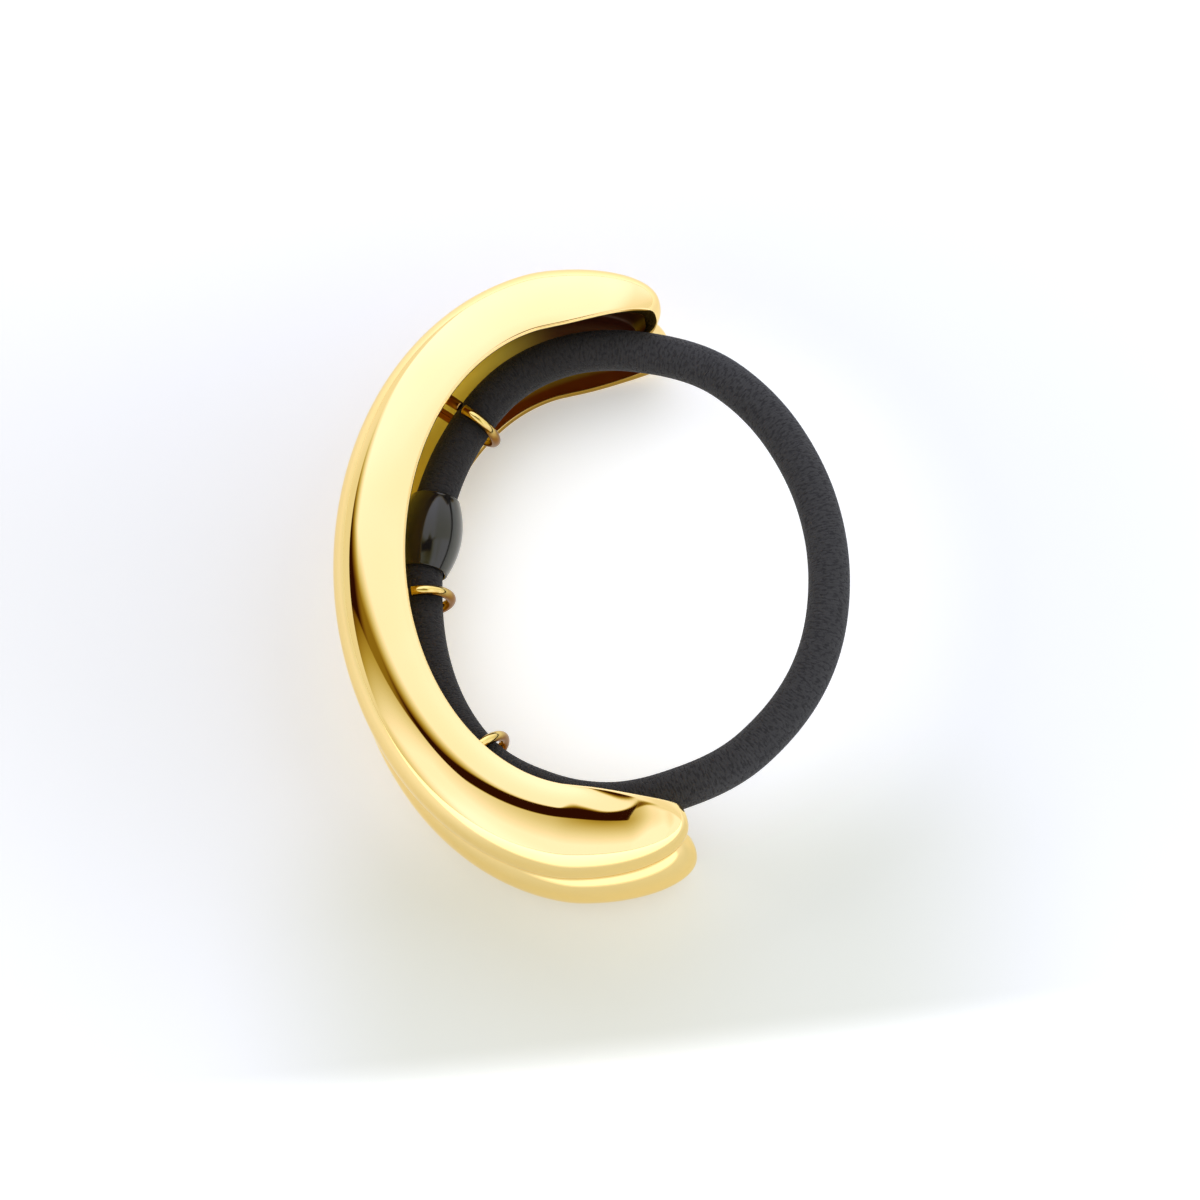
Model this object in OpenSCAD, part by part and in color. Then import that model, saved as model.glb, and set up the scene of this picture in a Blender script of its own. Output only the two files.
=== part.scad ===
// Ponytail cuff: a polished sheet-metal shell of two puffed lobes, closed at both ends, that
// carries an elastic band in three cut wire rings. A plastic bead joins the ends of the band.
// The cuff lies on its side: +Z runs along the axis of the hair, +Y towards the upper end of
// the shell and +X from the shell to the free side of the band. Lengths are in millimetres.

/* [Shell] */
// Half size of the rim oval from its middle to the side that the shell covers
oval_x = 17.5; // [15:0.1:21]
// Half size of the rim oval towards the ends of the shell
oval_y = 24.7; // [22:0.1:29]
// Depth from the rim to the crests of the lobes
shell_depth = 7.6; // [7:0.1:9]
// Width over both lobes
shell_width = 18; // [16:0.1:20]
// Distance between the two crests
crest_gap = 7.7; // [6.5:0.1:9]
// Thickness of the sheet
sheet_t = 0.8; // [0.6:0.05:1]
// Height of the widest line of a lobe over the rim
belly_h = 3; // [2.2:0.1:3.6]
// Distance that each rim turns in below the widest line
rim_tuck = 0.6; // [0.3:0.05:0.9]
// Fullness of the lobes in section: 2 is an ellipse and more is squarer
fullness = 2.3; // [2:0.05:2.8]

/* [Closed ends] */
// Angle from the middle of the shell to where its upper end starts to close
reach_up = 83; // [76:0.5:88]
// Angle from the middle of the shell to where its lower end starts to close
reach_down = 78; // [72:0.5:84]
// Length of each closing end
nose_l = 9.8; // [8:0.1:11]
// Roundness of an end seen from the side: 2 is an ellipse and less is more pointed
end_round = 1.92; // [1.75:0.01:2.1]
// Distance between the two tips of an end
tip_gap = 9; // [7.5:0.1:10]
// Depth of the notch between the two tips
notch_d = 1.1; // [0.6:0.1:1.6]
// Distance that the rim swings out at the tips
tip_rise = 4.1; // [3.4:0.1:5]
// Length over which the rim swings out
swing_l = 8.5; // [7:0.1:9.5]
// Bluntness of the tips seen from inside: 2 is round and more is squarer
bluntness = 3.8; // [3:0.1:5]

/* [Wire rings] */
// Diameter of the wire
wire_d = 1.05; // [0.8:0.05:1.2]
// Clear space between a ring and the band
ring_clear = 0.3; // [0.2:0.05:0.4]
// Angle of the upper ring from the middle of the shell
ring_up = 51; // [46:0.5:56]
// Angle of the lower ring from the middle of the shell
ring_down = 45; // [40:0.5:52]
// Width of the cut in the near leg of each ring
slit_w = 0.45; // [0.3:0.05:0.6]
// Distance of the cut outward from the middle of the band
slit_out = 0.85; // [0.7:0.05:1]
// Diameter at the soldered foot of the cut leg
foot_d = 1.5; // [1.3:0.05:1.7]

/* [Elastic band] */
// Diameter of the band
band_d = 4.2; // [3.6:0.1:4.6]
// Distance that the free side of the band stands out past the oval
free_out = 6.5; // [5.5:0.1:8]
// Sideways lean of the band where it leaves the upper end of the shell
band_lean = 2; // [1.2:0.1:2.4]
// Length of band at each end of the bead before it follows its route round the oval
lead_l = 1.5; // [1:0.1:2]

/* [Bead] */
// Angle of the bead from the middle of the shell, towards the upper end
bead_at = 17; // [15:0.5:20]
// Length of the bead
bead_l = 8; // [7:0.1:9]
// Largest diameter of the bead
bead_d = 6.7; // [6:0.1:7.2]
// Wall left round the band at each end of the bead
bead_lip = 0.35; // [0.3:0.05:0.5]
// Depth of the socket in each end
socket_h = 2.5; // [2:0.1:3]
// Gap between an end of the band and the bottom of its socket
end_gap = 0.2; // [0.1:0.05:0.4]
// Clearance round the band in its socket
socket_clear = 0.1; // [0.05:0.05:0.15]

/* [Hidden] */

gold = [0.93, 0.76, 0.38];
charcoal = [0.22, 0.22, 0.23];
black = [0.09, 0.09, 0.09];

body_rows = 30;
nose_rows = 8;
side_steps = 3;
crown_steps = 9;
valley_steps = 4;
band_sides = 16;
band_turns = 66;
wire_fn = 24;
bead_steps = 10;

lobe_r = (shell_width - crest_gap) / 2;
crest_z = crest_gap / 2;
tip_z = tip_gap / 2;
band_r = band_d / 2;
ring_r = band_r + ring_clear + wire_d / 2;

// Route of the band round the oval, counter-clockwise from the free side.
// Columns: stand-off past the rim as a share of free_out, lean as a share of band_lean.
// The rows are evenly spread over the turn.
BAND_OUT = 0;
BAND_LIFT = 1;
BAND = [
    [1.00, 0.00], [0.89, 0.35], [0.60, 0.75], [0.14, 1.00],
    [-0.06, 0.80], [-0.08, 0.30], [-0.13, 0.00], [-0.14, 0.00],
    [-0.09, 0.00], [-0.03, 0.00], [-0.05, 0.00], [-0.22, -0.30],
    [-0.25, -0.70], [-0.07, -0.80], [0.44, -0.60], [0.88, -0.30]
];

function clamp(x, lo, hi) = max(lo, min(hi, x));
function unit(v) = v / norm(v);
function between(a, b, n) = [for (i = [0 : n]) a + (b - a) * i / n];
function min_of(list, axis) = min([for (p = list) p[axis]]);
function max_of(list, axis) = max([for (p = list) p[axis]]);

// The rim oval: a point, its outward direction and the travel in mm for each degree
function oval_point(a) = [oval_x * cos(a), oval_y * sin(a)];
function oval_out(a) = unit([cos(a) / oval_x, sin(a) / oval_y]);
function oval_pace(a) = norm([oval_x * sin(a), oval_y * cos(a)]) * PI / 180;
function on_oval(a, out, z) =
    let (p = oval_point(a) + out * oval_out(a)) [p[0], p[1], z];

// Section of a lobe from its rim to the middle of the shell, as [height over the rim, z],
// for a surface that lies inset inside the outer one
function section(inset) =
    let (
        r = lobe_r - inset,
        crown_h = shell_depth - inset - belly_h,
        valley = acos(pow(min(1, crest_z / r), fullness / 2))
    )
    concat(
        [for (i = [0 : side_steps - 1]) let (h = belly_h * i / side_steps)
            [h, crest_z + r - rim_tuck * pow(1 - h / belly_h, 2)]],
        [for (b = between(0, 90, crown_steps))
            [belly_h + crown_h * pow(sin(b), 2 / fullness),
             crest_z + r * pow(cos(b), 2 / fullness)]],
        [for (i = [1 : valley_steps]) let (b = 90 + (valley - 90) * i / valley_steps)
            [belly_h + crown_h * pow(sin(b), 2 / fullness),
             i == valley_steps ? 0 : crest_z - r * pow(cos(b), 2 / fullness)]]
    );

// Outline of an end seen from inside, from the rim to the middle, as [share of its length, z],
// with as many points as the section
function end_outline(inset) =
    let (
        n = side_steps + crown_steps,
        rim_z = crest_z + lobe_r - inset - rim_tuck,
        notch = notch_d / nose_l
    )
    concat(
        [for (b = between(0, 90, n))
            [pow(sin(b), 2 / bluntness),
             tip_z + (rim_z - tip_z) * pow(cos(b), 2 / bluntness)]],
        [for (i = [1 : valley_steps]) let (z = tip_z * (1 - i / valley_steps))
            [1 - notch * pow(1 - z / tip_z, 2), z]]
    );

// A half list, mirrored over the middle of the shell
function both_lobes(half) =
    concat(half, [for (i = [len(half) - 2 : -1 : 0]) [half[i][0], -half[i][1]]]);

// Outward swing of the rim at a distance past the start of an end
function swing(x) = tip_rise * pow(max(0, x - nose_l + swing_l) / swing_l, 2);

// One closing row: the section turned about the rim by k degrees
function nose_row(start, dir, k, inset, sec, end) =
    [for (j = [0 : len(sec) - 1])
        let (x = (nose_l - inset) * end[j][0] * pow(sin(k), 2 / end_round),
             a = start + dir * x / oval_pace(start),
             h = sec[j][0] * pow(cos(k), 2 / end_round),
             z = sec[j][1] + (end[j][1] - sec[j][1]) * pow(sin(k), 2))
        on_oval(a, swing(x) + h, z)];

// One row along the body
function body_row(a, past, sec) =
    [for (p = sec) on_oval(a, swing(past) + p[0], p[1])];

start_up = 180 - reach_up;
start_down = 180 + reach_down;

function shell_rows(inset) =
    let (
        sec = both_lobes(section(inset)),
        end = both_lobes(end_outline(inset)),
        k_steps = between(0, 90, nose_rows)
    )
    concat(
        [for (i = [nose_rows : -1 : 1]) nose_row(start_up, -1, k_steps[i], inset, sec, end)],
        [for (a = between(start_up, start_down, body_rows))
            let (past = -min(a - start_up, start_down - a) * oval_pace(a))
            body_row(a, past, sec)],
        [for (i = [1 : nose_rows]) nose_row(start_down, 1, k_steps[i], inset, sec, end)]
    );

outer_rows = shell_rows(0);
row_count = len(outer_rows);
row_len = len(outer_rows[0]);

// The first and last point of a closing row is the rim corner that the end turns about
function at(i, j) =
    (j == 0 || j == row_len - 1 ? clamp(i, nose_rows, row_count - 1 - nose_rows) : i)
    * row_len + j;

module shell_body() {
    outer = [for (row = outer_rows) for (p = row) p];
    inner = [for (row = shell_rows(sheet_t)) for (p = row) p];
    n = len(outer);
    last = row_count - 1;
    side = row_len - 1;
    skin = [for (i = [0 : last - 1]) for (j = [0 : side - 1])
        [at(i, j), at(i + 1, j), at(i + 1, j + 1), at(i, j + 1)]];
    rim = concat(
        [for (i = [nose_rows : last - nose_rows - 1]) [at(i, 0), at(i + 1, 0)]],
        [for (j = [0 : side - 1]) [at(last, j), at(last, j + 1)]],
        [for (i = [last - nose_rows : -1 : nose_rows + 1]) [at(i, side), at(i - 1, side)]],
        [for (j = [side : -1 : 1]) [at(0, j), at(0, j - 1)]]
    );
    polyhedron(
        points = concat(outer, inner),
        faces = concat(
            [for (f = skin) for (t = halves(f)) t],
            [for (f = skin) for (t = halves(f)) [t[2] + n, t[1] + n, t[0] + n]],
            [for (e = rim) for (t = [[e[1], e[0], e[0] + n], [e[1], e[0] + n, e[1] + n]]) t]
        )
    );
}

// The one or two triangles of a four-cornered face
function halves(f) =
    [for (t = [[f[0], f[1], f[2]], [f[0], f[2], f[3]]])
        if (t[0] != t[1] && t[1] != t[2] && t[2] != t[0]) t];

// The middle line of the band at an angle round the oval
BAND_STEP = 360 / len(BAND);
function spline(p0, p1, p2, p3, f) =
    p1 + f * (p2 - p0) / 2 + f * f * (p0 - 2.5 * p1 + 2 * p2 - p3 / 2)
    + f * f * f * (1.5 * (p1 - p2) + (p3 - p0) / 2);
function band_value(a, column) =
    let (
        u = (a - 360 * floor(a / 360)) / BAND_STEP,
        i = floor(u),
        p = [for (k = [-1 : 2]) BAND[(i + k + len(BAND)) % len(BAND)][column]]
    )
    spline(p[0], p[1], p[2], p[3], u - i);
function band_point(a) =
    on_oval(a, free_out * band_value(a, BAND_OUT), band_lean * band_value(a, BAND_LIFT));

// The bead sits on a chord of the band
bead_a = 180 - bead_at;
bead_half = bead_l / 2 / oval_pace(bead_a);
bead_from = band_point(bead_a - bead_half);
bead_to = band_point(bead_a + bead_half);
bead_mid = (bead_from + bead_to) / 2;
bead_axis = unit(bead_to - bead_from);
socket_reach = bead_l / 2 - socket_h + end_gap;
lead = lead_l / oval_pace(bead_a);

band_route = concat(
    [bead_mid + socket_reach * bead_axis, bead_mid + bead_l / 2 * bead_axis],
    [for (a = between(bead_a + bead_half + lead, bead_a - bead_half - lead + 360, band_turns))
        band_point(a)],
    [bead_mid - bead_l / 2 * bead_axis, bead_mid - socket_reach * bead_axis]
);

function band_along(i) =
    i <= 1 || i >= len(band_route) - 2 ? bead_axis
    : unit(band_route[i + 1] - band_route[i - 1]);

module band_tube() {
    n = len(band_route);
    pts = [for (i = [0 : n - 1])
        let (t = band_along(i), u = unit(cross([0, 0, 1], t)), v = cross(t, u))
        for (s = [0 : band_sides - 1])
            let (w = 360 * s / band_sides)
            band_route[i] + band_r * (cos(w) * u + sin(w) * v)];
    polyhedron(
        points = pts,
        faces = concat(
            [[for (s = [band_sides - 1 : -1 : 0]) s]],
            [[for (s = [0 : band_sides - 1]) (n - 1) * band_sides + s]],
            [for (i = [0 : n - 2]) for (s = [0 : band_sides - 1])
                let (a = i * band_sides, q = (s + 1) % band_sides)
                for (t = [[a + s, a + q, a + q + band_sides],
                          [a + s, a + q + band_sides, a + s + band_sides]]) t]
        )
    );
}

// Places its children with X outward and Z across the shell, at the band's middle line
module on_band(a) {
    out = oval_out(a);
    translate(band_point(a)) rotate([0, 0, atan2(out[1], out[0])]) children();
}

// Height of the middle of the sheet over the rim, at a distance from the shell's middle
function sheet_mid(z) =
    let (r = lobe_r - sheet_t / 2, s = abs((abs(z) - crest_z) / r))
    belly_h + (shell_depth - sheet_t / 2 - belly_h) * pow(1 - pow(s, fullness), 1 / fullness);

// One wire ring: half a turn round the inner side of the band, and two legs soldered into
// the roof of the shell. The near leg is cut, and its stub widens to its foot.
module wire_ring(a) {
    lift = band_lean * band_value(a, BAND_LIFT);
    base = free_out * band_value(a, BAND_OUT);
    slit_x = [slit_out - slit_w / 2, slit_out + slit_w / 2];
    on_band(a) {
        rotate([90, 0, 0]) rotate([0, 0, 90])
            rotate_extrude(angle = 180, $fn = 2 * wire_fn)
                translate([ring_r, 0]) circle(d = wire_d, $fn = wire_fn);
        leg(-ring_r, 0, sheet_mid(lift - ring_r) - base, wire_d, wire_d);
        leg(ring_r, 0, slit_x[0], wire_d, wire_d);
        leg(ring_r, slit_x[1], sheet_mid(lift + ring_r) - base, wire_d, foot_d);
    }
}

module leg(z, from, to, d1, d2) {
    translate([from, 0, z]) rotate([0, 90, 0])
        cylinder(h = to - from, d1 = d1, d2 = d2, $fn = wire_fn);
}

// The frame's origin is below the middle of the whole cuff's box, on the floor it lies on
shell_points = [for (row = outer_rows) for (p = row) p];
low_x = min_of(shell_points, 0);
high_x = max_of(band_route, 0) + band_r;
low_y = min(min_of(shell_points, 1), min_of(band_route, 1) - band_r);
high_y = max(max_of(shell_points, 1), max_of(band_route, 1) + band_r);
origin = [(low_x + high_x) / 2, (low_y + high_y) / 2, -shell_width / 2];

module cuff_shell() {
    color(gold) translate(-origin) {
        shell_body();
        for (a = [180 - ring_up, 180, 180 + ring_down]) wire_ring(a);
    }
}

module elastic_band() {
    color(charcoal) translate(-origin) band_tube();
}

module joint_bead() {
    end_r = band_r + socket_clear + bead_lip;
    bulge = bead_d / 2 - end_r;
    profile = concat(
        [for (s = between(-1, 1, bead_steps)) [end_r + bulge * (1 - s * s), s * bead_l / 2]],
        [[band_r + socket_clear, bead_l / 2],
         [band_r + socket_clear, bead_l / 2 - socket_h],
         [0, bead_l / 2 - socket_h],
         [0, socket_h - bead_l / 2],
         [band_r + socket_clear, socket_h - bead_l / 2],
         [band_r + socket_clear, -bead_l / 2]]
    );
    turn = atan2(bead_axis[1], bead_axis[0]);
    tilt = acos(bead_axis[2]);
    color(black) translate(bead_mid - origin) rotate([0, tilt, turn])
        rotate_extrude($fn = 64) polygon(profile);
}

cuff_shell();
elastic_band();
joint_bead();
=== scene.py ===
import math
import random
import bpy
from mathutils import Matrix, Vector


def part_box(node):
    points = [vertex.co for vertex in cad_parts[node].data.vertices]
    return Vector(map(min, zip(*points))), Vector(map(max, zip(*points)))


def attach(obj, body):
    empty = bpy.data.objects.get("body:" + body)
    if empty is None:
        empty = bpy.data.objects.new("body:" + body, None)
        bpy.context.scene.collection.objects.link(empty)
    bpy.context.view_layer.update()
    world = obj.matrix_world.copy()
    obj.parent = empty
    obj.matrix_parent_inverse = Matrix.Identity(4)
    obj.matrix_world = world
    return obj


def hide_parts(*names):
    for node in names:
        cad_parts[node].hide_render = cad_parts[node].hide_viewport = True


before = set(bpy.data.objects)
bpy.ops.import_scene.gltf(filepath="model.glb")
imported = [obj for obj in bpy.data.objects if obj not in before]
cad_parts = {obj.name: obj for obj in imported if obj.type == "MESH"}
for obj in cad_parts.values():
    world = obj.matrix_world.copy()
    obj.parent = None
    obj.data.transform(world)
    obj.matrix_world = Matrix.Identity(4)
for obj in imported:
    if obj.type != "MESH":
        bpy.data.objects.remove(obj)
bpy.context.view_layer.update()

mm = 0.001
print("stage: frame loaded")


# shader maths as plain Python: a Wire is one output socket

class Wire:
    def __init__(self, board, socket):
        self.board, self.socket = board, socket

    def math(self, operation, *others):
        return self.board.add("ShaderNodeMath", {"operation": operation},
                              dict(enumerate((self,) + others)))

    def __add__(self, other):
        return self.math("ADD", other)

    def __sub__(self, other):
        return self.math("SUBTRACT", other)

    def __mul__(self, other):
        return self.math("MULTIPLY", other)

    def __truediv__(self, other):
        return self.math("DIVIDE", other)

    def __neg__(self):
        return self.math("MULTIPLY", -1.0)

    __radd__ = __add__
    __rmul__ = __mul__

    def __rsub__(self, other):
        return self.board.add("ShaderNodeMath", {"operation": "SUBTRACT"}, {0: other, 1: self})

    def __rtruediv__(self, other):
        return self.board.add("ShaderNodeMath", {"operation": "DIVIDE"}, {0: other, 1: self})

    def atLeast(self, low):
        return self.math("MAXIMUM", low)

    def atMost(self, high):
        return self.math("MINIMUM", high)

    def slope(self, low, high):
        # 0 below low, 1 above high and a straight line between them
        return ((self - low) / (high - low)).atLeast(0).atMost(1)

    def ease(self, low, high):
        # 0 below low, 1 above high and a smooth step between them
        return self.board.add("ShaderNodeMapRange", {"interpolation_type": "SMOOTHSTEP"},
                              {"Value": self, "From Min": low, "From Max": high})

    def window(self, rise, fall):
        # up over the first smooth step and down again over the second
        return self.ease(*rise) * (1 - self.ease(*fall))

    def wobble(self, amount):
        # from a value between 0 and 1 to one that swings round 0
        return (self - 0.5) * amount


def distance(x, y):
    return (x * x + y * y).math("SQRT")


class Board:
    # a node tree and the few ways to add to it
    def __init__(self, tree):
        self.tree = tree

    def add(self, kind, settings=None, sockets=None, out=0):
        # any other node: its type, its settings first, then its sockets
        node = self.tree.nodes.new(kind)
        for key, value in (settings or {}).items():
            if key == "stops":
                ramp = node.color_ramp
                while len(ramp.elements) < len(value):
                    ramp.elements.new(0.5)
                for element, (place, colour) in zip(ramp.elements, value):
                    element.position, element.color = place, colour
            else:
                setattr(node, key, value)
        for key, value in (sockets or {}).items():
            self.join(node.inputs[key], value)
        return Wire(self, node.outputs[out])

    def join(self, socket, value):
        if isinstance(value, Wire):
            self.tree.links.new(value.socket, socket)
        else:
            socket.default_value = value

    def split(self, vector):
        first = self.add("ShaderNodeSeparateXYZ", {}, {0: vector})
        return [Wire(self, socket) for socket in first.socket.node.outputs]

    def mix(self, share, first, second):
        # two colours
        return self.add("ShaderNodeMix", {"data_type": "RGBA"}, {0: share, 6: first, 7: second}, out=2)

    def noise(self, where, scale, detail, rough):
        return self.add("ShaderNodeTexNoise", {}, {"Vector": where, "Scale": scale, "Detail": detail,
                                                   "Roughness": rough})

    def bump(self, height, strength, distance):
        return self.add("ShaderNodeBump", {}, {"Height": height, "Strength": strength,
                                               "Distance": distance})


class Finish(Board):
    # a material built round one Principled shader, with the sockets that stay the same all over
    def __init__(self, name, constant):
        self.material = bpy.data.materials.new(name)
        self.material.use_nodes = True
        super().__init__(self.material.node_tree)
        self.tree.nodes.clear()
        self.shader = self.tree.nodes.new("ShaderNodeBsdfPrincipled")
        output = self.tree.nodes.new("ShaderNodeOutputMaterial")
        self.tree.links.new(self.shader.outputs[0], output.inputs["Surface"])
        for key, value in constant.items():
            self.shader.inputs[key].default_value = value

    def feed(self, name, wire):
        self.join(self.shader.inputs[name], wire)

    def place(self):
        return self.add("ShaderNodeTexCoord", out="Object")

    def normal(self):
        return self.split(self.add("ShaderNodeNewGeometry", out="Normal"))


def grey(value):
    return (value, value, value, 1.0)


# the shell's form, in mm about the middle of the rim oval

shellForm = {
    "ovalX": 17.5, "ovalY": 24.7, "depth": 7.6, "width": 18.0, "crestGap": 7.7,
    "sheet": 0.8, "bellyH": 3.0, "rimTuck": 0.6, "fullness": 2.3,
    "reachUp": 83, "reachDown": 78, "noseL": 9.8, "endRound": 1.92, "tipGap": 9.0,
    "notch": 1.1, "tipRise": 4.1, "swingL": 8.5, "bluntness": 3.8,
    "rimRoll": 0.2, "rimSquare": 2.6, "valleySoft": 0.3,
    # towards its upper end the shell's sides stand straighter at the rim
    "flareFull": 130, "flareNone": 172, "flareBellyH": 1.0, "flareTuck": 0.1, "flareFullness": 2.6,
    "bodyRows": 116, "noseRows": 30, "sideSteps": 8, "crownSteps": 36, "valleySteps": 12, "rollSteps": 8,
}
lobeR = (shellForm["width"] - shellForm["crestGap"]) / 2
crestZ = shellForm["crestGap"] / 2
tipZ = shellForm["tipGap"] / 2
startUp = 180 - shellForm["reachUp"]
startDown = 180 + shellForm["reachDown"]


def between(a, b, steps):
    return [a + (b - a) * i / steps for i in range(steps + 1)]


def ovalOut(a):
    # the way out of the oval, at an angle round it in degrees
    t = math.radians(a)
    return Vector((math.cos(t) / shellForm["ovalX"], math.sin(t) / shellForm["ovalY"])).normalized()


def ovalPace(a):
    # mm along the oval for each degree
    t = math.radians(a)
    return math.hypot(shellForm["ovalX"] * math.sin(t), shellForm["ovalY"] * math.cos(t)) * math.pi / 180


def onOval(a, out, z):
    t = math.radians(a)
    way = ovalOut(a)
    x = shellForm["ovalX"] * math.cos(t) + out * way.x
    y = shellForm["ovalY"] * math.sin(t) + out * way.y
    return Vector((x, y, z))


def softZ(z):
    # rounds the bottom of the valley and of the notch
    return z + shellForm["valleySoft"] * math.exp(-z / shellForm["valleySoft"])


def flared(a):
    # height of the widest line over the rim, the rim's tuck and the fullness, at an angle round the oval
    s = (a - shellForm["flareFull"]) / (shellForm["flareNone"] - shellForm["flareFull"])
    s = min(1, max(0, s))
    s = s * s * (3 - 2 * s)
    pairs = (("flareBellyH", "bellyH"), ("flareTuck", "rimTuck"), ("flareFullness", "fullness"))
    return [shellForm[flare] + (shellForm[plain] - shellForm[flare]) * s for flare, plain in pairs]


def lobeSection(inset, a):
    # (height over the rim, z) across both lobes, from rim to rim
    r = lobeR - inset
    bellyH, tuck, n = flared(a)
    crownH = shellForm["depth"] - inset - bellyH
    half = [(bellyH * s, crestZ + r - tuck * (1 - s) ** 2)
            for s in between(0, 1, shellForm["sideSteps"])[:-1]]
    half += [(bellyH + crownH * math.sin(b) ** (2 / n), crestZ + r * math.cos(b) ** (2 / n))
             for b in between(0, math.pi / 2, shellForm["crownSteps"])]
    for s in between(0, 1, shellForm["valleySteps"])[1:]:
        z = crestZ * (1 - s)
        share = (crestZ - softZ(z)) / r
        half.append((bellyH + crownH * (1 - max(0, share) ** n) ** (1 / n), z))
    return half + [(h, -z) for h, z in reversed(half[:-1])]


def endOutline(inset, a):
    # (share of the nose's length, z) of the end as seen from outside, with its notch
    rimZ = crestZ + lobeR - inset - flared(a)[1]
    power = 2 / shellForm["bluntness"]
    notch = shellForm["notch"] / shellForm["noseL"]
    half = [(math.sin(b) ** power, tipZ + (rimZ - tipZ) * max(0, math.cos(b)) ** power)
            for b in between(0, math.pi / 2, shellForm["sideSteps"] + shellForm["crownSteps"])]
    for s in between(0, 1, shellForm["valleySteps"])[1:]:
        z = tipZ * (1 - s)
        half.append((1 - notch * (1 - softZ(z) / tipZ) ** 2, z))
    return half + [(share, -z) for share, z in reversed(half[:-1])]


def swing(past):
    # the ends rise off the oval near their tips
    swingL = shellForm["swingL"]
    return shellForm["tipRise"] * (max(0, past - shellForm["noseL"] + swingL) / swingL) ** 2


def noseRow(inset, start, way, turn):
    # a row of the closed end, from the body at turn 0 to the tip at a right angle
    power = 2 / shellForm["endRound"]
    row = []
    for (h, z), (share, shadeEndZ) in zip(lobeSection(inset, start), endOutline(inset, start)):
        past = (shellForm["noseL"] - inset) * share * math.sin(turn) ** power
        out = swing(past) + h * max(0, math.cos(turn)) ** power
        a = start + way * past / ovalPace(start)
        row.append(onOval(a, out, z + (shadeEndZ - z) * math.sin(turn) ** 2))
    return row


def shellRows(inset):
    turns = between(0, math.pi / 2, shellForm["noseRows"])[1:]
    rows = [noseRow(inset, startUp, -1, turn) for turn in reversed(turns)]
    for a in between(startUp, startDown, shellForm["bodyRows"]):
        past = -min(a - startUp, startDown - a) * ovalPace(a)
        rows.append([onOval(a, swing(past) + h, z) for h, z in lobeSection(inset, a)])
    return rows + [noseRow(inset, startDown, 1, turn) for turn in turns]


def rolledRim(points, loop, half):
    # half rounds over the sheet's edge; the inner skin's point is half of the points further on
    steps, count, base = shellForm["rollSteps"], len(loop), len(points)
    power = 2 / shellForm["rimSquare"]
    rolls, columns, faces = [], [], []
    for k, (edge, behind) in enumerate(loop):
        a, b = points[edge], points[edge + half]
        before, after = loop[k - 1][0], loop[(k + 1) % count][0]
        along = (points[after] - points[before]).normalized()
        across = b - a
        out = along.cross(across).normalized()
        if out.dot(a - points[behind]) < 0:
            out = -out
        for turn in between(0, math.pi, steps)[1:-1]:
            c, s = math.cos(turn), math.sin(turn)
            rolls.append((a + b) / 2 - across / 2 * math.copysign(abs(c) ** power, c)
                         + out * shellForm["rimRoll"] * s ** power)
        first = base + k * (steps - 1)
        columns.append([edge, *range(first, first + steps - 1), edge + half])
    for k, one in enumerate(columns):
        two = columns[(k + 1) % count]
        for m in range(steps):
            faces.append((one[m + 1], two[m + 1], two[m], one[m]))
    return rolls, faces


def shellMesh():
    outside, inside = shellRows(0), shellRows(shellForm["sheet"])
    last, side, nose = len(outside) - 1, len(outside[0]) - 1, shellForm["noseRows"]
    points = [p for row in outside + inside for p in row]
    half = len(points) // 2

    def at(i, j):
        # along the rim, all rows of a nose share the point where the nose starts
        if j in (0, side):
            i = min(max(i, nose), last - nose)
        return i * (side + 1) + j

    faces, isInner = [], []
    for i in range(last):
        for j in range(side):
            corners = list(dict.fromkeys([at(i, j), at(i + 1, j), at(i + 1, j + 1), at(i, j + 1)]))
            faces += [tuple(corners), tuple(c + half for c in reversed(corners))]
            isInner += [0, 1]
    # the rim: one closed loop, with the next row of skin behind each point
    loop = [(at(i, 0), at(i, 1)) for i in range(nose, last - nose)]
    loop += [(at(last, j), at(last - 1, j)) for j in range(side)]
    loop += [(at(i, side), at(i, side - 1)) for i in range(last - nose, nose, -1)]
    loop += [(at(0, j), at(1, j)) for j in range(side, 0, -1)]
    rolls, rollFaces = rolledRim(points, loop, half)
    return points + rolls, faces + rollFaces, isInner + [0] * len(rollFaces)


shellPoints, shellFaces, shellInner = shellMesh()
shellLow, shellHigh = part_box("cuff_shell")
ovalMiddle = Vector((shellLow.x - min(p.x for p in shellPoints) * mm,
                     shellLow.y - min(p.y for p in shellPoints) * mm,
                     (shellLow.z + shellHigh.z) / 2))


# meshes

def makePiece(name, points, faces, finishes, uv=None, inner=None):
    # points in mm about the oval's middle; inner faces take the second finish
    mesh = bpy.data.meshes.new(name)
    mesh.from_pydata([tuple(ovalMiddle + p * mm) for p in points], [], faces)
    mesh.validate()
    mesh.polygons.foreach_set("use_smooth", [True] * len(mesh.polygons))
    if uv:
        layer = mesh.uv_layers.new(name="weave")
        for polygon in mesh.polygons:
            for loop, corner in zip(polygon.loop_indices, uv[polygon.index]):
                layer.data[loop].uv = corner
    for finish in finishes:
        mesh.materials.append(finish.material)
    if inner:
        mesh.polygons.foreach_set("material_index", inner)
    piece = bpy.data.objects.new(name, mesh)
    bpy.context.scene.collection.objects.link(piece)
    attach(piece, "root")
    return piece


def heading(line, i):
    # the way that a line of points runs at one of them
    return (line[min(i + 1, len(line) - 1)] - line[max(i - 1, 0)]).normalized()


def ringOf(middle, first, second, radii):
    # points round a middle, at even turns from first to second, one for each radius
    turns = [math.tau * s / len(radii) for s in range(len(radii))]
    return [middle + r * (math.cos(turn) * first + math.sin(turn) * second)
            for r, turn in zip(radii, turns)]


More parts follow.
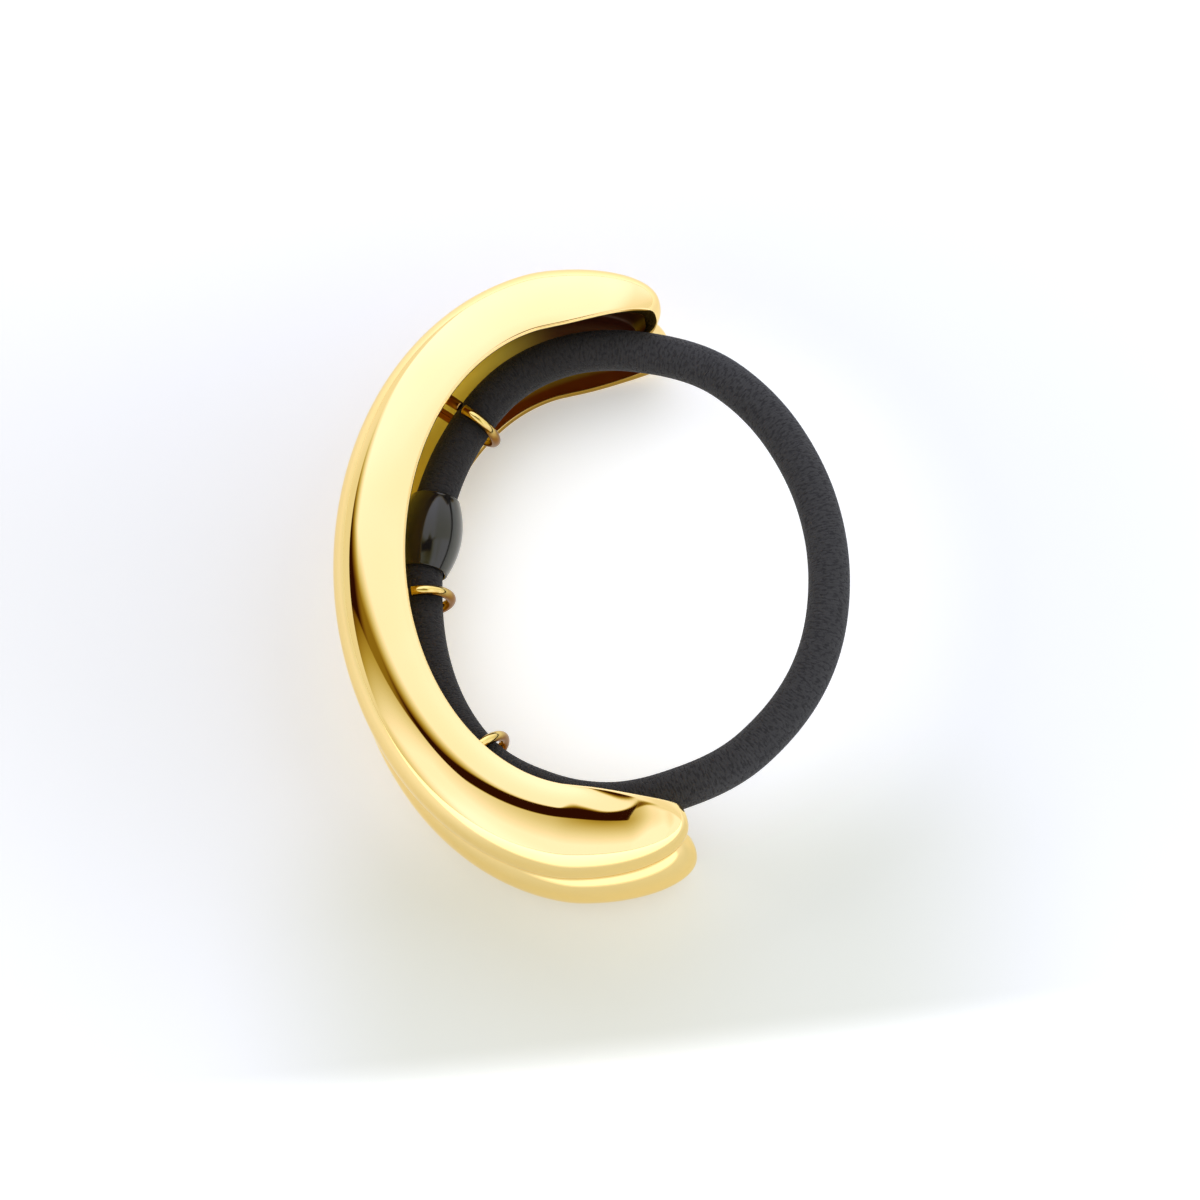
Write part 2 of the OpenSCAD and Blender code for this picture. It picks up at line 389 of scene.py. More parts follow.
def tubeFaces(rings, sides):
    # the skin over rings of points, and a flat cap on each end
    faces = []
    for i in range(rings - 1):
        for s in range(sides):
            a, b = i * sides + s, i * sides + (s + 1) % sides
            faces.append((a, b, b + sides, a + sides))
    return faces + [tuple(reversed(range(sides))), tuple(range((rings - 1) * sides, rings * sides))]


def sweepTube(line, sides, up):
    # a closed tube round (point, radius) pairs; each ring starts towards up
    spine, points = [point for point, _ in line], []
    for i, (point, radius) in enumerate(line):
        along = heading(spine, i)
        first = (up - along * up.dot(along)).normalized()
        points += ringOf(point, first, along.cross(first), [radius] * sides)
    return points, tubeFaces(len(line), sides)


# camera

cameraSet = {"tilt": 22.76, "turn": 16.61, "around": -10.76, "distance": 450.0, "lens": 135.0, "sensor": 36.0,
             "shiftX": 0.00926, "shiftY": -0.0153, "nearest": 0.01, "furthest": 20.0}


def makeCamera():
    tilt, turn, around = (math.radians(cameraSet[k]) for k in ("tilt", "turn", "around"))
    levelRight = Vector((math.cos(around), -math.sin(around), 0))
    away = Vector((math.sin(around), math.cos(around), 0))
    levelUp = math.cos(tilt) * away + Vector((0, 0, math.sin(tilt)))
    right = math.cos(turn) * levelRight - math.sin(turn) * levelUp
    up = math.sin(turn) * levelRight + math.cos(turn) * levelUp
    back = right.cross(up)
    data = bpy.data.cameras.new("viewCamera")
    data.lens, data.sensor_width = cameraSet["lens"], cameraSet["sensor"]
    data.shift_x, data.shift_y = cameraSet["shiftX"], cameraSet["shiftY"]
    data.clip_start, data.clip_end = cameraSet["nearest"], cameraSet["furthest"]
    camera = bpy.data.objects.new("viewCamera", data)
    spin = Matrix((right, up, back)).transposed().to_4x4()
    camera.matrix_world = Matrix.Translation(ovalMiddle + back * cameraSet["distance"] * mm) @ spin
    bpy.context.scene.collection.objects.link(camera)
    bpy.context.scene.camera = camera


makeCamera()
print("stage: camera")


# gold; in every finish a noise is its scale, detail and roughness, and a pair is where a step
# starts and where it is full, in metres or as a share

ringX = 0.004  # x of the middle of the elastic ring

goldFinish = {
    "colour": (1.0, 0.765, 0.345, 1.0), "warm": (1.0, 0.75, 0.32, 1.0), "edge": (1.0, 0.92, 0.68, 1.0),
    "drift": (90.0, 2.0, 0.5), "driftStep": (0.3, 0.7), "wear": (1400.0, 4.0, 0.6),
    "rough": 0.035, "roughWear": 0.02, "roughDrift": 0.012,
    # painted shade: the lower lip of the upper opening and its end get a darker colour that stands in for the
    # shade there
    "lip": (0.44, 0.26, 0.04, 1.0), "shadeLipY": (0.012, 0.018), "shadeLipZ": (0.0015, 0.003), "shadeLipFront": (0.2, 0.6),
    "shadeEndX": (0.005, 0.007), "shadeEndY": (0.022, 0.024), "shadeEndZ": (0.009, 0.011), "shadeEndFront": (0.7, 0.9),
}


def makeGold():
    gold = Finish("polishedGold", {"Metallic": 1.0, "Specular Tint": goldFinish["edge"]})
    where = gold.place()
    drift = gold.noise(where, *goldFinish["drift"])
    wear = gold.noise(where, *goldFinish["wear"])
    x, y, z = gold.split(where)
    front = -gold.normal()[1]
    # painted shade: the lip and end masks darken the base colour where shade falls
    lip = y.ease(*goldFinish["shadeLipY"]) * (1 - z.ease(*goldFinish["shadeLipZ"]))
    lip = lip * front.ease(*goldFinish["shadeLipFront"])
    end = x.ease(*goldFinish["shadeEndX"]) * y.ease(*goldFinish["shadeEndY"]) * z.ease(*goldFinish["shadeEndZ"])
    end = end * front.ease(*goldFinish["shadeEndFront"])
    body = gold.mix(drift.ease(*goldFinish["driftStep"]), goldFinish["colour"], goldFinish["warm"])
    gold.feed("Base Color", gold.mix(lip.math("MAXIMUM", end), body, goldFinish["lip"]))
    rough = goldFinish["rough"] + wear.wobble(goldFinish["roughWear"])
    gold.feed("Roughness", rough + drift.wobble(goldFinish["roughDrift"]))
    return gold


wireFinish = {
    # painted shade: darker underneath and on the legs, standing in for the shade there
    "top": (0.95, 0.74, 0.24, 1.0), "shadeUnder": (0.24, 0.10, 0.01, 1.0), "leg": (0.28, 0.09, 0.01, 1.0),
    "shadeFacingStep": (0.1, 1.0), "shadeFacingWobble": 0.3, "legStep": (0.0235, 0.026),
    "wear": (1800.0, 3.0, 0.6), "rough": 0.08, "roughWear": 0.04,
}


def makeWire():
    wire = Finish("wireGold", {"Metallic": 1.0})
    where = wire.place()
    wear = wire.noise(where, *wireFinish["wear"])
    # painted shade: dark where the wire faces down, its own gold where it faces up
    top = (wire.normal()[2] + wear.wobble(wireFinish["shadeFacingWobble"])).ease(*wireFinish["shadeFacingStep"])
    x, y, _ = wire.split(where)
    # painted shade on the legs, near the shell
    leg = distance(x - ringX, y).ease(*wireFinish["legStep"])
    loop = wire.mix(top, wireFinish["shadeUnder"], wireFinish["top"])
    wire.feed("Base Color", wire.mix(leg, loop, wireFinish["leg"]))
    wire.feed("Roughness", wireFinish["rough"] + wear.wobble(wireFinish["roughWear"]))
    return wire


insideFinish = {
    # plated, not polished
    "open": (1.0, 0.76, 0.07, 1.0), "dull": (1.0, 0.70, 0.05, 1.0), "edge": (0.8, 0.5, 0.15, 1.0),
    "metal": 0.2, "rough": 0.42, "roughGrain": 0.12, "bump": 0.15, "bumpHeight": 0.00002,
    "cloud": (160.0, 3.0, 0.5), "cloudStep": (0.3, 0.7), "grain": (2600.0, 3.0, 0.6),
    # painted shade: in the upper end, the wall beside the opening is coloured deep red and the outer one
    # nearly black, for the shade in there
    "deepShade": (0.17, 0.015, 0.001, 1.0), "deepShadeMost": 0.97, "deepShadeCloud": 0.06, "deepShadeX": (-0.020, -0.012),
    "dark": (0.03, 0.002, 0.001, 1.0), "darkShadeX": (-0.0145, -0.0015),
    "upperY": (0.0, 0.01), "outerWall": (0.0262, 0.0278),
}


def makeInside():
    inside = Finish("plainGoldInside", {"Metallic": insideFinish["metal"],
                                        "Specular Tint": insideFinish["edge"]})
    where = inside.place()
    x, y, _ = inside.split(where)
    cloud = inside.noise(where, *insideFinish["cloud"])
    grain = inside.noise(where, *insideFinish["grain"])
    upper = y.ease(*insideFinish["upperY"])
    outer = distance(x - ringX, y).ease(*insideFinish["outerWall"])
    # painted shade: deep red on the wall beside the opening in the upper end
    deepShade = x.ease(*insideFinish["deepShadeX"]) * upper * (1 - outer)
    deepShade = (deepShade * insideFinish["deepShadeMost"] + cloud.wobble(insideFinish["deepShadeCloud"])).atLeast(0).atMost(1)
    # painted shade: nearly black on the outer wall in the upper end
    dark = x.ease(*insideFinish["darkShadeX"]) * upper * outer
    colour = inside.mix(cloud.ease(*insideFinish["cloudStep"]), insideFinish["open"], insideFinish["dull"])
    colour = inside.mix(deepShade, colour, insideFinish["deepShade"])
    inside.feed("Base Color", inside.mix(dark, colour, insideFinish["dark"]))
    inside.feed("Roughness", insideFinish["rough"] + grain.wobble(insideFinish["roughGrain"]))
    inside.feed("Normal", inside.bump(grain, insideFinish["bump"], insideFinish["bumpHeight"]))
    return inside


gold, wireGold, goldInside = makeGold(), makeWire(), makeInside()
shell = makePiece("cuffShell", shellPoints, shellFaces, [gold, goldInside], inner=shellInner)
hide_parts("cuff_shell")
print("stage: shell", len(shell.data.polygons), "faces")


# the band's route, in mm about the oval's middle

bandForm = {
    "thick": 4.2, "freeOut": 6.5, "lean": 2.0, "rings": 900, "sides": 96, "routeSteps": 400, "smoothing": 12,
    # the knit: wales round the band, courses along it, and how far it stands out
    "wales": 26, "course": 0.5, "relief": 0.012, "stitch": 0.6, "sunk": 0.75, "inset": 0.02,
    # slow and quick sways of the surface, each with its size and its pace along the band
    "seed": 7, "slow": 0.012, "slowL": 3.1, "quick": 0.010, "quickL": 1.3,
    # stand-off past the rim and lean, as shares, in 16 even steps from the free side
    "out": [1.00, 0.89, 0.60, 0.14, -0.06, -0.08, -0.13, -0.14,
            -0.09, -0.03, -0.05, -0.22, -0.25, -0.07, 0.44, 0.88],
    "lift": [0.00, 0.35, 0.75, 1.00, 0.80, 0.30, 0.00, 0.00,
             0.00, 0.00, 0.00, -0.30, -0.70, -0.80, -0.60, -0.30],
}
beadForm = {"at": 17.0, "long": 8.0, "thick": 6.7, "lip": 0.35, "socket": 2.5, "clear": 0.1, "core": 0.6,
            "endGap": 0.2, "lead": 1.5, "sides": 112, "barrelSteps": 40, "lipSteps": 8}
bandR = bandForm["thick"] / 2


def bandValue(a, column):
    # a smooth curve through the steps of a column
    table = bandForm[column]
    n = len(table)
    u = (a % 360) / 360 * n
    i = int(math.floor(u))
    f = u - i
    p0, p1, p2, p3 = (table[(i + k + n) % n] for k in (-1, 0, 1, 2))
    return (p1 + f * (p2 - p0) / 2 + f * f * (p0 - 2.5 * p1 + 2 * p2 - p3 / 2)
            + f * f * f * (1.5 * (p1 - p2) + (p3 - p0) / 2))


def bandOut(a):
    return bandForm["freeOut"] * bandValue(a, "out")


def bandPoint(a):
    return onOval(a, bandOut(a), bandForm["lean"] * bandValue(a, "lift"))


beadA = 180 - beadForm["at"]
beadHalfTurn = beadForm["long"] / 2 / ovalPace(beadA)
beadFrom, beadTo = bandPoint(beadA - beadHalfTurn), bandPoint(beadA + beadHalfTurn)
beadMid = (beadFrom + beadTo) / 2
beadAxis = (beadTo - beadFrom).normalized()


def evenly(line, count):
    # the same line with its points at even distances
    lengths = [0.0]
    for a, b in zip(line, line[1:]):
        lengths.append(lengths[-1] + (b - a).length)
    result, k = [], 0
    for want in between(0, lengths[-1], count):
        while k < len(line) - 2 and lengths[k + 1] < want:
            k += 1
        span = max(lengths[k + 1] - lengths[k], 1e-9)  # never 0
        result.append(line[k].lerp(line[k + 1], min(1, (want - lengths[k]) / span)))
    return result, lengths[-1]


def smoothLine(line, passes):
    for _ in range(passes):
        line = [line[0]] + [(a + 2 * b + c) / 4 for a, b, c in zip(line, line[1:], line[2:])] + [line[-1]]
    return line


def bandLine():
    # out of one socket of the bead, round, and into the other
    half = beadForm["long"] / 2
    reach = half - beadForm["socket"] + beadForm["endGap"]
    lead = beadHalfTurn + beadForm["lead"] / ovalPace(beadA)
    route = [beadMid + reach * beadAxis, beadMid + half * beadAxis]
    route += [bandPoint(a) for a in between(beadA + lead, beadA - lead + 360, bandForm["routeSteps"])]
    route += [beadMid - half * beadAxis, beadMid - reach * beadAxis]
    line, length = evenly(route, bandForm["rings"])
    return smoothLine(line, bandForm["smoothing"]), length


def knitRelief(wale, travel):
    # ribs along the wales, with slanted stitches in them
    place = 2 * (wale % 1) - 1
    slant = travel / bandForm["course"] + 0.5 * abs(place)
    stitch = 0.5 + 0.5 * math.cos(math.tau * slant)
    rib = 1 - place ** 2
    return bandForm["relief"] * (rib * (1 - bandForm["stitch"] * (1 - stitch)) - bandForm["sunk"])


def bandMesh():
    line, length = bandLine()
    sides, last = bandForm["sides"], len(line) - 1
    random.seed(bandForm["seed"])
    slow, quick, around = [random.uniform(0, math.tau) for _ in range(3)]
    alongs = [length * i / last for i in range(last + 1)]
    wales = [bandForm["wales"] * s / sides for s in range(sides + 1)]
    points, uv = [], []
    for i, travel in enumerate(alongs):
        along = heading(line, i)
        first = Vector((0, 0, 1)).cross(along).normalized()
        swell = bandForm["slow"] * math.sin(travel / bandForm["slowL"] + slow)
        swell += bandForm["quick"] * math.sin(travel / bandForm["quickL"] + quick)
        radii = [bandR - bandForm["inset"] + swell * math.cos(math.tau * s / sides + around)
                 + knitRelief(wales[s], travel) for s in range(sides)]
        points += ringOf(line[i], first, along.cross(first), radii)
    courses = [travel / bandForm["course"] for travel in alongs]
    for u0, u1 in zip(courses, courses[1:]):
        uv += [((u0, v0), (u0, v1), (u1, v1), (u1, v0)) for v0, v1 in zip(wales, wales[1:])]
    uv += [[(0, 0)] * sides, [(0, 0)] * sides]  # the hidden caps
    return points, tubeFaces(last + 1, sides), uv, length


knitFinish = {
    "dark": (0.0115, 0.0113, 0.0108, 1.0), "light": (0.038, 0.038, 0.0355, 1.0),
    "rough": 0.85, "sheen": 0.06, "sheenRough": 0.45,
    # painted shade: the part that the shell covers is darker, standing in for the shade the shell casts on it
    "shadeUnderShell": (0.5, 0.45, 0.37, 1.0), "shadeUnderShellX": (-0.004, 0.012),
    "sway": (420.0, 2.0, 0.5), "fuzz": (3400.0, 3.0, 0.7), "blotch": (600.0, 3.0, 0.6),
    # short dark marks between the loops, longer across the band than along it
    "marks": (1.0, 2.0, 0.55), "marksAlong": 2.0, "marksRound": 0.8, "marksStep": (0.38, 0.53),
    "courses": 1.8, "courseSway": 1.2,
    # the tone without them, and what each adds or takes away
    "tone": 0.74, "toneMarks": 0.68, "toneCourse": 0.16, "toneFuzz": 0.9, "toneBlotch": 0.5,
    "bumpCourse": 0.25, "bumpFuzz": 0.5, "bump": 0.8, "bumpHeight": 0.0001,
}


def makeKnit():
    knit = Finish("charcoalKnit", {"Roughness": knitFinish["rough"], "Sheen Weight": knitFinish["sheen"],
                                   "Sheen Roughness": knitFinish["sheenRough"]})
    along, across, _ = knit.split(knit.add("ShaderNodeUVMap", {"uv_map": "weave"}))
    where = knit.place()
    sway = knit.noise(where, *knitFinish["sway"])
    fuzz = knit.noise(where, *knitFinish["fuzz"])
    blotch = knit.noise(where, *knitFinish["blotch"])
    loops = knit.add("ShaderNodeCombineXYZ", {}, {0: along * knitFinish["marksAlong"] + sway,
                                                  1: across * knitFinish["marksRound"]})
    marks = 1 - knit.noise(loops, *knitFinish["marks"]).ease(*knitFinish["marksStep"])
    course = (along + sway * knitFinish["courseSway"]) * (math.tau * knitFinish["courses"])
    course = course.math("COSINE") * 0.5 + 0.5
    tone = knitFinish["tone"] - marks * knitFinish["toneMarks"] + course.wobble(knitFinish["toneCourse"])
    tone = tone + fuzz.wobble(knitFinish["toneFuzz"]) + blotch.wobble(knitFinish["toneBlotch"])
    tone = tone.atLeast(0).atMost(1)
    colour = knit.mix(tone, knitFinish["dark"], knitFinish["light"])
    # painted shade where the shell covers the band
    bare = knit.split(where)[0].ease(*knitFinish["shadeUnderShellX"])
    shade = knit.mix(bare, knitFinish["shadeUnderShell"], grey(1.0))
    shadedColour = knit.add("ShaderNodeVectorMath", {"operation": "MULTIPLY"}, {0: colour, 1: shade})
    knit.feed("Base Color", shadedColour)
    height = course * knitFinish["bumpCourse"] + fuzz * knitFinish["bumpFuzz"] - marks
    knit.feed("Normal", knit.bump(height, knitFinish["bump"], knitFinish["bumpHeight"]))
    return knit


bandPoints, bandFaces, bandUv, bandLength = bandMesh()
band = makePiece("elasticBand", bandPoints, bandFaces, [makeKnit()], bandUv)
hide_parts("elastic_band")
print("stage: band, middle line", round(bandLength, 1), "mm")


# bead

def beadMesh():
    # half of the section, as (radius, place along the bead), is turned over for the other end
    half, bore, lip = beadForm["long"] / 2, bandR + beadForm["clear"], beadForm["lip"] / 2
    endR = bore + beadForm["lip"]
    bulge = beadForm["thick"] / 2 - endR
    barrel = [(endR + bulge * (1 - s * s), s * (half - lip)) for s in between(-1, 1, beadForm["barrelSteps"])]
    end = [(endR - lip + lip * math.cos(turn), half - lip + lip * math.sin(turn))
           for turn in between(0, math.pi, beadForm["lipSteps"])[1:]]
    end += [(r, half - beadForm["socket"]) for r in (bore, beadForm["core"])]
    profile = [(r, -x) for r, x in reversed(end)] + barrel + end
    side = beadAxis.cross(Vector((0, 0, 1))).normalized()
    points = []
    for r, x in profile:
        points += ringOf(beadMid + x * beadAxis, side, side.cross(beadAxis), [r] * beadForm["sides"])
    return points, tubeFaces(len(profile), beadForm["sides"])


beadFinish = {"colour": (0.006, 0.006, 0.006, 1.0), "light": (0.012, 0.012, 0.011, 1.0),
              "shine": (1.0, 0.99, 0.74, 1.0), "mottle": (1500.0, 3.0, 0.5),
              "rough": 0.14, "roughMottle": 0.08, "coat": 0.4, "coatRough": 0.08}


def makeBlack():
    black = Finish("glossyBlackPlastic", {"Specular Tint": beadFinish["shine"],
                                          "Coat Weight": beadFinish["coat"],
                                          "Coat Roughness": beadFinish["coatRough"]})
    mottle = black.noise(black.place(), *beadFinish["mottle"])
    black.feed("Base Color", black.mix(mottle, beadFinish["colour"], beadFinish["light"]))
    black.feed("Roughness", beadFinish["rough"] + mottle.wobble(beadFinish["roughMottle"]))
    return black


beadPoints, beadFaces = beadMesh()
bead = makePiece("jointBead", beadPoints, beadFaces, [makeBlack()])
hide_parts("joint_bead")
print("stage: bead")


# wire rings

ringForm = {"wire": 1.05, "clear": 0.3, "up": 51.0, "down": 45.0, "slit": 0.45, "slitOut": 0.85,
            "foot": 1.5, "cutEdge": 0.12, "fillet": 0.55,
            "sides": 24, "legSteps": 24, "bendSteps": 40, "tipSteps": 6, "edgeSteps": 4}
ringR = bandR + ringForm["clear"] + ringForm["wire"] / 2


def sheetMid(z):
    # height of the middle of the sheet over the rim
    r = lobeR - shellForm["sheet"] / 2
    share = abs((abs(z) - crestZ) / r)
    n = shellForm["fullness"]
    crownH = shellForm["depth"] - shellForm["sheet"] / 2 - shellForm["bellyH"]
    return shellForm["bellyH"] + crownH * (1 - share ** n) ** (1 / n)


def roundedEnd(radius, edge):
    # (distance from the end, radius) pairs that round the edge of a cut end
    turns = between(0, math.pi / 2, ringForm["edgeSteps"])
    return [(edge * (1 - math.cos(turn)), radius - edge + edge * math.sin(turn)) for turn in turns]


def ringPieces(a):
    # the bent wire, and the stub on the other side of its cut
    middle, way = bandPoint(a), ovalOut(a)
    out, up = Vector((way.x, way.y, 0)), Vector((0, 0, 1))
    wireR, footR, edge = ringForm["wire"] / 2, ringForm["foot"] / 2, ringForm["cutEdge"]
    farRoof, nearRoof = (sheetMid(middle.z + side * ringR) - bandOut(a) for side in (-1, 1))
    cutFrom, cutTo = (ringForm["slitOut"] + side * ringForm["slit"] / 2 for side in (-1, 1))

    def spot(x, z):
        return middle + x * out + z * up

    def solder(fromRoof):
        # what the fillet adds to the wire's radius
        near = max(0, 1 - fromRoof / (2 * ringForm["fillet"] + shellForm["sheet"] / 2))
        return ringForm["fillet"] * near * near

    wire = [(spot(farRoof * (1 - s), -ringR), wireR + solder(farRoof * s))
            for s in between(0, 1, ringForm["legSteps"])]
    wire += [(spot(-ringR * math.cos(turn), ringR * math.sin(turn)), wireR)
             for turn in between(-math.pi / 2, math.pi / 2, ringForm["bendSteps"])[1:]]
    wire += [(spot((cutFrom - edge) * s, ringR), wireR) for s in between(0, 1, ringForm["tipSteps"])[1:-1]]
    wire += [(spot(cutFrom - drop, ringR), r) for drop, r in reversed(roundedEnd(wireR, edge))]
    stub = [(spot(cutTo + drop, ringR), r) for drop, r in roundedEnd(wireR, edge)]
    for s in between(0, 1, ringForm["legSteps"])[1:]:
        x = cutTo + edge + (nearRoof - cutTo - edge) * s
        stub.append((spot(x, ringR), wireR + (footR - wireR) * s + solder(nearRoof - x)))
    return [sweepTube(line, ringForm["sides"], out.cross(up)) for line in (wire, stub)]


for name, a in (("upper", 180 - ringForm["up"]), ("middle", 180.0), ("lower", 180 + ringForm["down"])):
    for part, (points, faces) in zip(("Ring", "RingStub"), ringPieces(a)):
        makePiece(name + part, points, faces, [wireGold])
print("stage: wire rings")


# floor

floorSet = {
    "half": 3.0, "near": (0.80, 0.83, 0.71, 1.0), "far": (0.93, 0.96, 0.90, 1.0), "rough": 0.9,
    "grain": (60.0, 3.0, 0.5), "grainShare": 0.02,
    # painted shadow: a darker strip in front of the cuff, and the front of the set beyond it
    "shadowStripY": (0.014, 0.03), "shadowStripLeft": (-0.045, -0.02), "shadowStripRight": (0.02, 0.05),
    "frontY": (0.044, 0.052),
    # the front, the middle of the ring and what lies further out glow a little
    "frontGlow": 0.55, "middleGlow": 0.42, "middleStep": (0.014, 0.038),
    "awayGlow": 0.09, "awayStep": (0.045, 0.09),
}


def makeFloor():
    pale = Finish("paleFloor", {"Roughness": floorSet["rough"], "Emission Strength": 1.0})
    where = pale.place()
    x, y, _ = pale.split(where)
    grain = pale.noise(where, *floorSet["grain"])
    front = (-y).ease(*floorSet["frontY"])
    # painted shadow: the strip takes the darker near colour in front of the cuff
    shadowStrip = (-y).ease(*floorSet["shadowStripY"]) * (1 - front)
    shadowStrip = shadowStrip * x.window(floorSet["shadowStripLeft"], floorSet["shadowStripRight"])
    share = shadowStrip + grain.wobble(floorSet["grainShare"])
    pale.feed("Base Color", pale.mix(share, floorSet["far"], floorSet["near"]))
    fromRing = distance(x - ringX, y)
    glow = front * floorSet["frontGlow"]
    glow = glow + (1 - fromRing.ease(*floorSet["middleStep"])) * floorSet["middleGlow"]
    glow = glow + fromRing.ease(*floorSet["awayStep"]) * (1 - shadowStrip) * floorSet["awayGlow"]
    pale.feed("Emission Color", pale.add("ShaderNodeCombineXYZ", {}, {0: glow, 1: glow, 2: glow}))
    half = floorSet["half"]
    mesh = bpy.data.meshes.new("floorPlane")
    corners = [(-half, -half, 0), (half, -half, 0), (half, half, 0), (-half, half, 0)]
    mesh.from_pydata(corners, [], [(0, 1, 2, 3)])
    mesh.materials.append(pale.material)
    floor = bpy.data.objects.new("floorPlane", mesh)
    bpy.context.scene.collection.objects.link(floor)


# one wide light spreads above the whole set; its pattern is laid out in degrees
# from straight above the eye point, u to the right and v to the back

lightSet = {
    "height": 0.08, "size": 6.0, "eye": 0.017, "least": 0.025,
    # the light's tint at each brightness, as (share of top, green, blue); the red is the same in all
    "red": 0.77, "top": 1.5,
    "tints": [(0.0, 0.08, 0.03), (0.06, 0.33, 0.04), (0.167, 0.51, 0.05), (0.30, 0.63, 0.17),
              (0.433, 0.72, 0.45), (0.56, 0.77, 0.68), (0.667, 0.77, 0.82), (0.867, 0.77, 1.0)],
}
nearLight = {
    # dim above the camera, brighter outwards
    "dimU": 8.0, "dimV": -14.0, "dimLevel": 0.33, "dimSlope": 0.0165, "dimMost": 1.19, "open": 1.22,
    "side": 0.35, "sideRise": (13, 26), "sideFall": (33, 50),
    "corner": 0.16, "cornerLeft": (30, 65), "cornerNear": (20, 45),
    "leftDim": 0.4, "leftStep": (62, 90),
    "backDim": 1.17, "backStep": (-20, 26), "rightLift": 0.2, "rightStep": (0, 20), "nearStep": (20, 26),
    # its far edge, where the dark gap starts
    "edgeV": -13.2, "edgeLean": 0.19, "edgeSoft": (-0.8, 1.5), "edgeLift": 8, "edgeLiftLeft": (25, 31),
    "edgeClimb": 0.35, "edgeClimbLeft": 30, "edgeJump": 45, "edgeJumpRight": (15, 18),
}


def nearPattern(u, v):
    left, near, values = -u, -v, nearLight
    fromDim = distance(u - values["dimU"], v - values["dimV"])
    bright = (fromDim * values["dimSlope"] + values["dimLevel"]).atMost(values["dimMost"])
    bright = bright + u.window(values["sideRise"], values["sideFall"]) * values["side"]
    corner = left.ease(*values["cornerLeft"]) * near.ease(*values["cornerNear"]) * values["corner"]
    bright = bright.atMost(values["open"]) + corner
    bright = bright * (1 - left.ease(*values["leftStep"]) * values["leftDim"])
    most = values["open"] - v.ease(*values["backStep"]) * values["backDim"]
    most = most + u.ease(*values["rightStep"]) * values["rightLift"]
    bright = bright.atMost(most + near.ease(*values["nearStep"]))
    edge = values["edgeV"] - u * values["edgeLean"] + left.ease(*values["edgeLiftLeft"]) * values["edgeLift"]
    edge = edge + (left - values["edgeClimbLeft"]).atLeast(0) * values["edgeClimb"]
    edge = edge + u.ease(*values["edgeJumpRight"]) * values["edgeJump"]
    return bright * (edge - v).ease(*values["edgeSoft"])


boxLight = {
    # a light box on the far side, brighter to the back and fading to the left
    "level": 1.14, "back": 0.36, "backStep": (10, 75), "rightDim": 0.18, "rightStep": (12, 34),
    "fadeU": 0.515, "fadeV": 0.857, "fadeStep": (-11.5, 1.0), "leftStep": (-58, -44),
    # its near edge, where the dark gap ends
    "edgeV": 3.5, "edgeFall": 0.25, "edgeFallLeft": 8, "edgeFallMost": 12,
    "edgeDip": 2, "edgeDipStep": (-4, 14),
    "sharp": 1, "soft": 16, "softRise": (-6, 4), "softFall": (-1, 15),
}


def boxPattern(u, v):
    values = boxLight
    past = (-u - values["edgeFallLeft"]).atLeast(0).atMost(values["edgeFallMost"])
    edge = values["edgeV"] - past * values["edgeFall"] - u.ease(*values["edgeDipStep"]) * values["edgeDip"]
    full = edge + values["sharp"] + u.window(values["softRise"], values["softFall"]) * values["soft"]
    bright = v.ease(*values["backStep"]) * values["back"] + values["level"]
    bright = bright * (1 - u.ease(*values["rightStep"]) * values["rightDim"])
    bright = bright * (u * values["fadeU"] + v * values["fadeV"]).slope(*values["fadeStep"])
    return bright * u.slope(*values["leftStep"]) * v.ease(edge - values["sharp"], full)


smallLights = {
    # a haze in the gap, a thin dark line on to the right of it, and a paler rim low on the left
    "haze": 0.25, "hazeRise": (27, 36), "hazeFall": (46, 58),
    "line": 0.8, "lineU": 16, "lineV": 0.2, "lineLean": 0.2, "lineWide": (0.5, 2.2),
    "lineRise": (15, 17), "lineFall": (17, 36),
    "rim": 0.85, "rimMore": 0.1, "rimMoreStep": (44, 60), "rimU": -79.5, "rimLean": 0.56,
    "rimSoft": (-0.8, 0.8), "rimStep": (-12, -4),
}


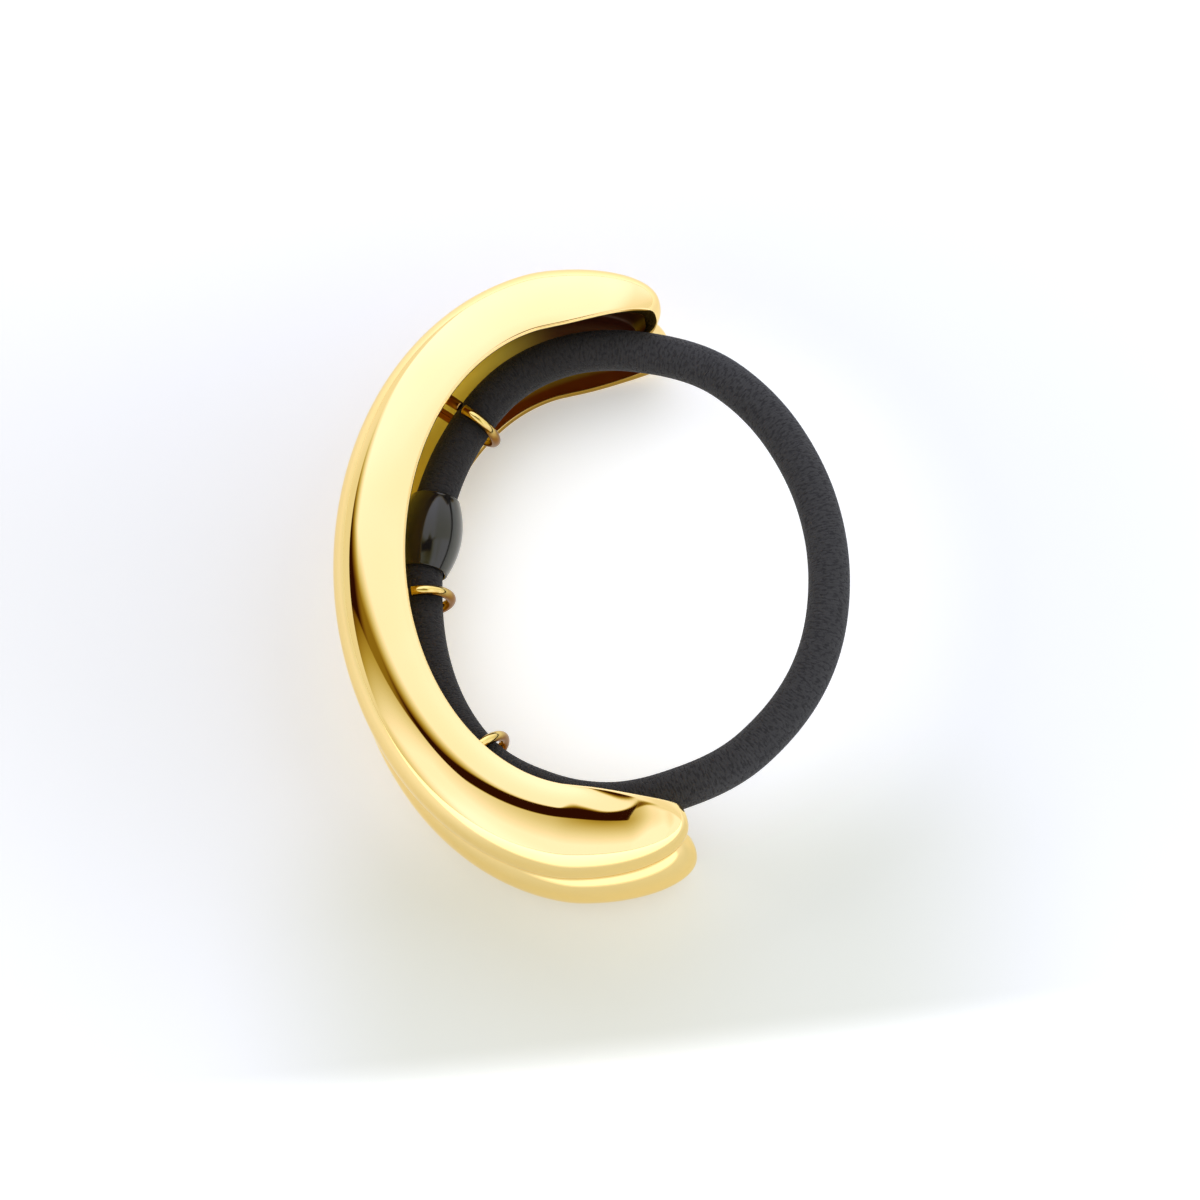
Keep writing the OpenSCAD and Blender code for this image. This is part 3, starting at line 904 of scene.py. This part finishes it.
def lightPattern(glow):
    values = smallLights
    x, y, _ = glow.split(glow.add("ShaderNodeNewGeometry", out="Position"))
    far = distance(x, y).atLeast(0.00001)  # it divides, so it is never 0
    angle = far.math("ARCTAN2", lightSet["height"] - lightSet["eye"]) * math.degrees(1)
    u, v = angle * x / far, angle * y / far
    haze = (-u).window(values["hazeRise"], values["hazeFall"]) * values["haze"]
    bright = nearPattern(u, v).math("MAXIMUM", boxPattern(u, v)).math("MAXIMUM", haze)
    line = (v - values["lineV"] - (u - values["lineU"]) * values["lineLean"]).math("ABSOLUTE")
    line = (1 - line.ease(*values["lineWide"])) * u.window(values["lineRise"], values["lineFall"])
    bright = bright * (1 - line * values["line"])
    rim = (values["rimU"] + v * values["rimLean"] - u).ease(*values["rimSoft"]) * v.ease(*values["rimStep"])
    rimLevel = v.ease(*values["rimMoreStep"]) * values["rimMore"] + values["rim"]
    return (bright * (1 - rim) + rim * rimLevel).atLeast(lightSet["least"])


def makeLight():
    data = bpy.data.lights.new("ceilingLight", "AREA")
    data.shape, data.size = "SQUARE", lightSet["size"]
    data.energy = math.pi * lightSet["size"] ** 2  # a brightness of 1 at strength 1
    data.use_nodes = True
    glow = Board(data.node_tree)
    bright = lightPattern(glow)
    emission = data.node_tree.nodes["Emission"]
    stops = [(place, (lightSet["red"], green, blue, 1.0)) for place, green, blue in lightSet["tints"]]
    glow.join(emission.inputs["Strength"], bright * (1 / lightSet["red"]))
    glow.join(emission.inputs["Color"],
              glow.add("ShaderNodeValToRGB", {"stops": stops}, {0: bright / lightSet["top"]}))
    light = bpy.data.objects.new("ceilingLight", data)
    light.location = (0, 0, lightSet["height"])
    light.visible_camera = False
    bpy.context.scene.collection.objects.link(light)


# the light covers nearly the whole sky; only a pale strip at the horizon is left
skySet = {"level": 0.9, "stripTop": (0.012, 0.022)}


def makeSky():
    world = bpy.data.worlds.new("studioSky")
    bpy.context.scene.world = world
    world.use_nodes = True
    sky = Board(world.node_tree)
    z = sky.split(sky.add("ShaderNodeTexCoord", out="Generated"))[2]
    back = world.node_tree.nodes["Background"]
    back.inputs["Color"].default_value = grey(1.0)
    sky.join(back.inputs["Strength"], (1 - z.ease(*skySet["stripTop"])) * skySet["level"])


makeFloor()
makeLight()
makeSky()
bpy.context.scene.view_settings.view_transform = "Standard"
bpy.context.scene.view_settings.look = "None"
print("stage: floor and light")
